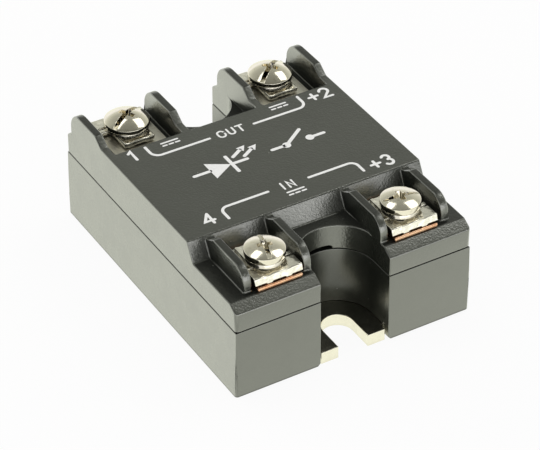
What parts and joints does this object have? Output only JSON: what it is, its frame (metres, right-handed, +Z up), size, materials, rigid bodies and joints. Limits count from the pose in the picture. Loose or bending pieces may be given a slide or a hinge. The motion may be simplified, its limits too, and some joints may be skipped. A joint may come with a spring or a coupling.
{
  "type": "solid state relay",
  "caption": "Panel-mount solid state relay: dark plastic case and cover on a metal baseplate, end notches for mounting screws, and screw terminals between barriers.",
  "frame": {"origin": "middle of the case on the mounting face", "axes": "+Z up out of the mounting face, +Y along the length to the output terminals, +X to the right seen from the input end"},
  "size_m": [0.0444, 0.058, 0.0227],
  "materials": {
    "case_plastic": "fine moulded texture",
    "cover_plastic": "fine moulded texture",
    "baseplate_metal": "milled, plated",
    "plated_strip": "nickel plated",
    "copper_strip": "bare sheared copper",
    "clamp_metal": "bright nickel plated steel",
    "washer_metal": "nickel plated spring steel",
    "screw_metal": "bright nickel plated steel",
    "ceramic": "fired alumina",
    "land_copper": "rolled copper",
    "silicon": "polished silicon",
    "board_laminate": "lacquered laminate",
    "lead_metal": "tinned",
    "black_resin": "moulded resin",
    "resistor_body": "lacquered",
    "zener_body": "glass",
    "capacitor_sleeve": "shrunk sleeve",
    "gel": "soft silicone"
  },
  "bodies": {
    "housing": {"baseplate": "baseplate_metal", "case": "case_plastic", "cover": "cover_plastic", "output_terminal_1": "plated_strip", "output_terminal_2": "plated_strip", "input_terminal_3": "copper_strip", "input_terminal_4": "copper_strip", "ceramic_substrate": "ceramic", "substrate_pads": "land_copper", "transistor_chip_1": "silicon", "transistor_chip_2": "silicon", "source_strap_1": "land_copper", "source_strap_2": "land_copper", "circuit_board": "board_laminate", "board_pins": "lead_metal", "isolator": "black_resin", "isolator_leads": "lead_metal", "input_resistor": "resistor_body", "polarity_diode": "black_resin", "limiter_transistor": "black_resin", "filter_capacitor": "capacitor_sleeve", "gate_resistor": "resistor_body", "gate_zener": "zener_body", "surge_suppressor": "black_resin", "potting_gel": "gel"},
    "clamp_1": {"output_clamp_1": "clamp_metal", "output_washer_1": "washer_metal"},
    "screw_1": {"output_screw_1": "screw_metal"},
    "clamp_2": {"output_clamp_2": "clamp_metal", "output_washer_2": "washer_metal"},
    "screw_2": {"output_screw_2": "screw_metal"},
    "clamp_3": {"input_clamp_3": "clamp_metal", "input_washer_3": "washer_metal"},
    "screw_3": {"input_screw_3": "screw_metal"},
    "clamp_4": {"input_clamp_4": "clamp_metal", "input_washer_4": "washer_metal"},
    "screw_4": {"input_screw_4": "screw_metal"}
  },
  "joints": [
    {"name": "clamp_1_lift", "type": "slide", "parent": "housing", "child": "clamp_1", "axis": [0, 0, 1], "range_m": [0, 0.00317]},
    {"name": "screw_1_turn", "type": "hinge", "parent": "clamp_1", "child": "screw_1", "pos_m": [-0.01405, 0.02155, 0.0205], "axis": [0, 0, 1], "range_deg": [0, 1440]},
    {"name": "clamp_2_lift", "type": "slide", "parent": "housing", "child": "clamp_2", "axis": [0, 0, 1], "range_m": [0, 0.00317]},
    {"name": "screw_2_turn", "type": "hinge", "parent": "clamp_2", "child": "screw_2", "pos_m": [0.01405, 0.02155, 0.0205], "axis": [0, 0, 1], "range_deg": [0, 1440]},
    {"name": "clamp_3_lift", "type": "slide", "parent": "housing", "child": "clamp_3", "axis": [0, 0, 1], "range_m": [0, 0.00317]},
    {"name": "screw_3_turn", "type": "hinge", "parent": "clamp_3", "child": "screw_3", "pos_m": [0.0127, -0.0218, 0.0205], "axis": [0, 0, 1], "range_deg": [0, 1440]},
    {"name": "clamp_4_lift", "type": "slide", "parent": "housing", "child": "clamp_4", "axis": [0, 0, 1], "range_m": [0, 0.00317]},
    {"name": "screw_4_turn", "type": "hinge", "parent": "clamp_4", "child": "screw_4", "pos_m": [-0.0127, -0.0218, 0.0205], "axis": [0, 0, 1], "range_deg": [0, 1440]}
  ],
  "couplings": [
    {"joint": "screw_1_turn", "follows": "clamp_1_lift", "rad_per_m": 7915.8},
    {"joint": "screw_2_turn", "follows": "clamp_2_lift", "rad_per_m": 7915.8},
    {"joint": "screw_3_turn", "follows": "clamp_3_lift", "rad_per_m": 7915.8},
    {"joint": "screw_4_turn", "follows": "clamp_4_lift", "rad_per_m": 7915.8}
  ]
}
